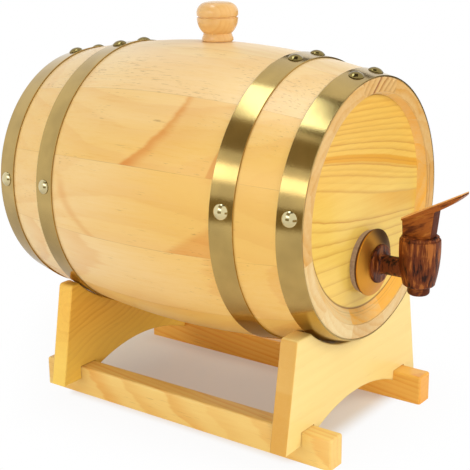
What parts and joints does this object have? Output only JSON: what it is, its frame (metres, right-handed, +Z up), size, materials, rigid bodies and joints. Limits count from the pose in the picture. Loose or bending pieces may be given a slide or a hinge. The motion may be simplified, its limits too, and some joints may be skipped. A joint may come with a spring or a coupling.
{
  "type": "cask drink dispenser",
  "caption": "Small wooden stave cask lying on a two-board cradle stand, with a turn-key tap in the front head and a lift-out bung on top.",
  "frame": {"origin": "on the ground plane under the middle of the bounding box, in the cask's symmetry plane", "axes": "+Z up, the cask's axis runs along Y with the tap at -Y, +X to the right when the tap is seen from the front"},
  "size_m": [0.2092, 0.3352, 0.2936],
  "materials": {
    "cask_wood": "gloss varnish",
    "head_wood": "gloss varnish",
    "bung_wood": "gloss varnish",
    "tap_wood": "oiled, satin",
    "stand_wood": "gloss varnish",
    "hoop_metal": "brushed along the band",
    "stud_metal": "polished",
    "escutcheon_metal": "polished",
    "screw_steel": "zinc plated",
    "washer_rubber": "matte, pale grey"
  },
  "bodies": {
    "stand": {"stand_board_front": "stand_wood", "stand_board_rear": "stand_wood", "stand_rail_left": "stand_wood", "stand_rail_right": "stand_wood", "stand_screws": "screw_steel"},
    "cask": {"stave_01": "cask_wood", "stave_02": "cask_wood", "stave_03": "cask_wood", "stave_04": "cask_wood", "stave_05": "cask_wood", "stave_06": "cask_wood", "stave_07": "cask_wood", "stave_08": "cask_wood", "stave_09": "cask_wood", "stave_10": "cask_wood", "stave_11": "cask_wood", "stave_12": "cask_wood", "head_front": "head_wood", "head_rear": "head_wood", "hoop_front_chime": "hoop_metal", "hoop_front_quarter": "hoop_metal", "hoop_rear_quarter": "hoop_metal", "hoop_rear_chime": "hoop_metal", "studs_front_chime": "stud_metal", "studs_front_quarter": "stud_metal", "studs_rear_quarter": "stud_metal", "studs_rear_chime": "stud_metal", "tap_washer": "washer_rubber", "tap_disc": "escutcheon_metal", "tap_body": "tap_wood"},
    "key": {"tap_key": "tap_wood"},
    "bung": {"bung": "bung_wood"}
  },
  "joints": [
    {"name": "cask_lift", "type": "slide", "parent": "stand", "child": "cask", "axis": [0, 0, 1], "range_m": [0, 0.08]},
    {"name": "key_turn", "type": "hinge", "parent": "cask", "child": "key", "pos_m": [0, -0.13325, 0.124], "axis": [0, 0, 1], "continuous": true},
    {"name": "bung_lift", "type": "slide", "parent": "cask", "child": "bung", "axis": [0, 0, 1], "range_m": [0, 0.06]}
  ]
}
